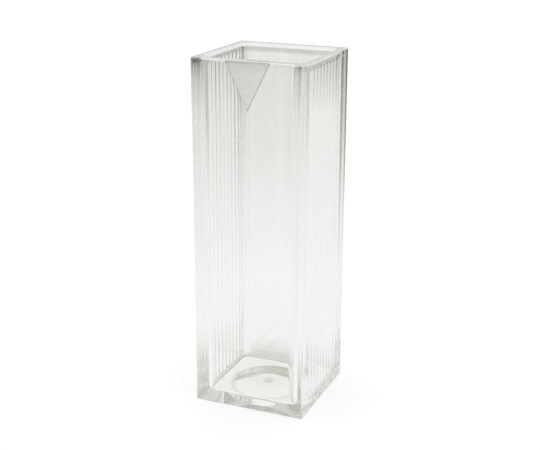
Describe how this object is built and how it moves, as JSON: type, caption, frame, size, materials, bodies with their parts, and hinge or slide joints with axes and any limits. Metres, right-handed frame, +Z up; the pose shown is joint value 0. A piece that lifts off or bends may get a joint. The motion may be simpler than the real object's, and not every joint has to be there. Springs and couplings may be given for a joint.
{
  "type": "cuvette",
  "caption": "Square clear moulded sample cell, open at the top, with polished windows front and back, ribbed sides, a frosted triangular mark and a dished foot.",
  "frame": {"origin": "centre of the square foot, at the height of the surface it stands on", "axes": "+Z up towards the open mouth, -Y out of the front window that carries the mark, +X out of one ribbed side"},
  "size_m": [0.0126, 0.0126, 0.038],
  "materials": {
    "clear_plastic": "polished"
  },
  "bodies": {
    "root": {"cuvette": "clear_plastic"}
  },
  "joints": []
}
